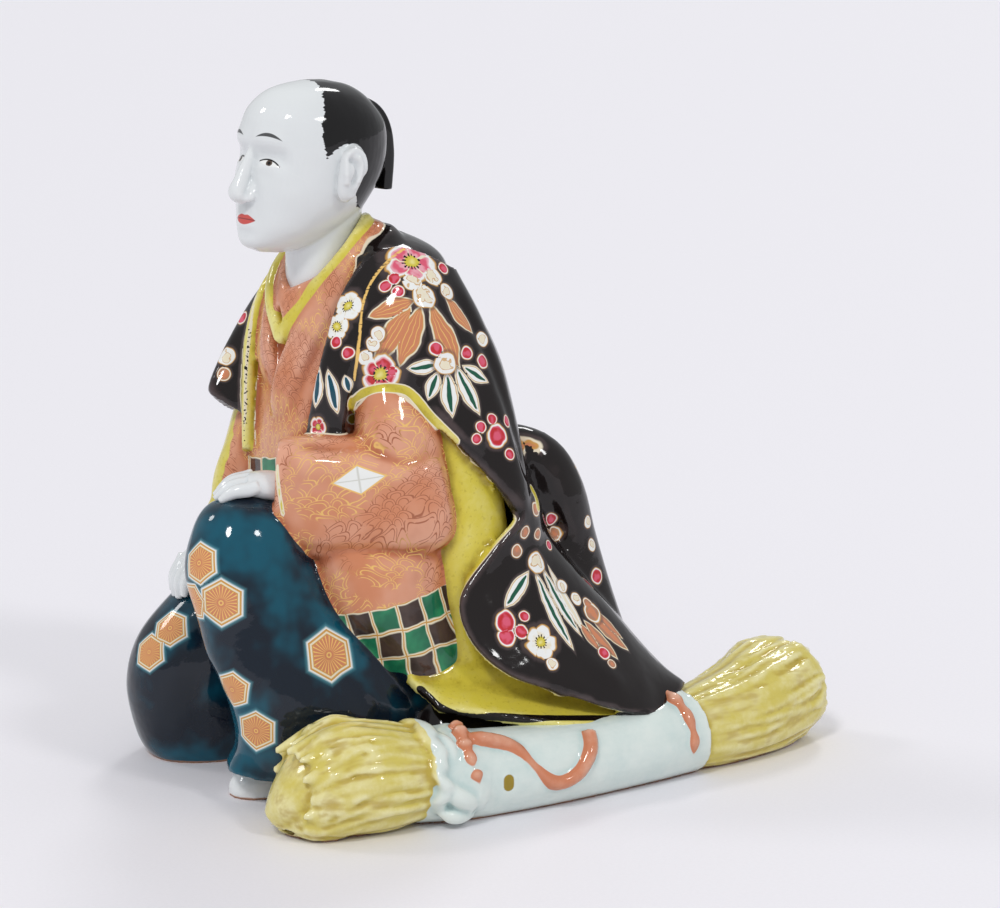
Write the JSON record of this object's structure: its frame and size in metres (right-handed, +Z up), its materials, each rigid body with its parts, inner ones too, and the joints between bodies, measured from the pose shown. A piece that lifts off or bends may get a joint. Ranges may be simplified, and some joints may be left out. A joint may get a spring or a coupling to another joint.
{
  "type": "porcelain male figurine",
  "caption": "Kneeling man in a wide patterned jacket and trousers, beside a wrapped straw bundle; a decorative glazed porcelain figurine.",
  "frame": {"origin": "centre of the footprint, on the surface that the figurine stands on", "axes": "+Z up; the figure faces -Y and its own left side, with the straw bundle, is on +X"},
  "size_m": [0.1434, 0.2068, 0.2168],
  "materials": {
    "glazed_porcelain": "glossy overglaze enamels"
  },
  "bodies": {
    "root": {"figurine": "glazed_porcelain"}
  },
  "joints": []
}
